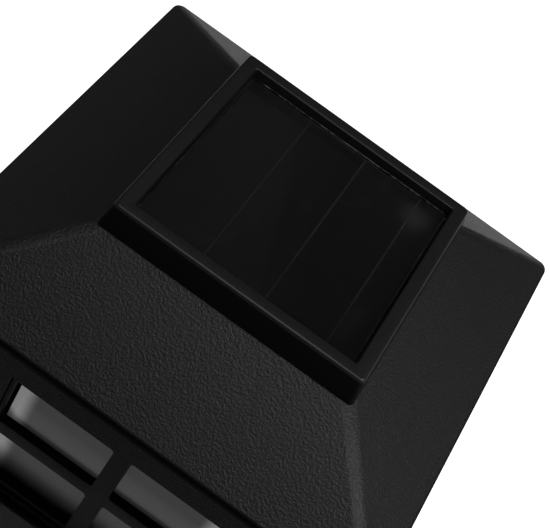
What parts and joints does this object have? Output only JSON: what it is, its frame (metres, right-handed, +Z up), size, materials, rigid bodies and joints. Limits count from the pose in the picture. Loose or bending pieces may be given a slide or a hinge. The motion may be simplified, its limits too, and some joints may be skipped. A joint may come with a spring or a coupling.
{
  "type": "fence post light",
  "caption": "Square black solar lantern for the top of a fence post, with a hipped roof, a framed solar panel and a grilled window on each side.",
  "frame": {"origin": "centre of the base's lower edge", "axes": "+Z up out of the panel; -Y out through the window seen at the front of the picture; +X to the right of that window"},
  "size_m": [0.15, 0.15, 0.1381],
  "materials": {
    "roof_plastic": "pebble grain",
    "bezel_plastic": "smooth satin",
    "body_plastic": "fine grain",
    "grille_plastic": "smooth satin",
    "pane_milky": "glossy milky sheet",
    "panel_cover": "clear glossy resin",
    "solar_silicon": "dark glossy cells",
    "panel_board": "matt board",
    "seal_rubber": "matt foam",
    "screw_steel": "zinc plated",
    "tray_plastic": "fine grain",
    "circuit_board": "solder mask",
    "board_parts": "moulded",
    "led_white": "white package",
    "lens_clear": "clear",
    "battery_wrap": "shrink sleeve",
    "contact_steel": "nickel plated",
    "switch_metal": "pressed",
    "knob_plastic": "smooth",
    "reflector_white": "white gloss"
  },
  "bodies": {
    "lantern": {"base_plinth": "body_plastic", "plinth_screws": "screw_steel", "body_shell": "body_plastic", "front_grille": "grille_plastic", "front_pane": "pane_milky", "right_grille": "grille_plastic", "right_pane": "pane_milky", "back_grille": "grille_plastic", "back_pane": "pane_milky", "left_grille": "grille_plastic", "left_pane": "pane_milky", "cone_reflector": "reflector_white"},
    "roof": {"roof_shell": "roof_plastic", "panel_bezel": "bezel_plastic", "bezel_screws": "screw_steel", "panel_seal": "seal_rubber", "panel_backing": "panel_board", "solar_cells": "solar_silicon", "panel_glass": "panel_cover", "under_tray": "tray_plastic", "tray_screws": "screw_steel", "tray_seal": "seal_rubber", "circuit_board": "circuit_board", "board_screws": "screw_steel", "board_parts": "board_parts", "led_emitter": "led_white", "led_lens": "lens_clear", "battery_cell": "battery_wrap", "battery_contacts": "contact_steel", "door_hinge_pin": "screw_steel", "switch_housing": "switch_metal"},
    "battery_door": {"battery_door": "tray_plastic"},
    "switch_knob": {"switch_knob": "knob_plastic"}
  },
  "joints": [
    {"name": "roof_lift", "type": "slide", "parent": "lantern", "child": "roof", "axis": [0, 0, 1], "range_m": [0, 0.06]},
    {"name": "door_swing", "type": "hinge", "parent": "roof", "child": "battery_door", "pos_m": [0, 0.0298, 0.0859], "axis": [1, 0, 0], "range_deg": [0, 100]},
    {"name": "switch_slide", "type": "slide", "parent": "roof", "child": "switch_knob", "axis": [1, 0, 0], "range_m": [0, 0.003]}
  ]
}
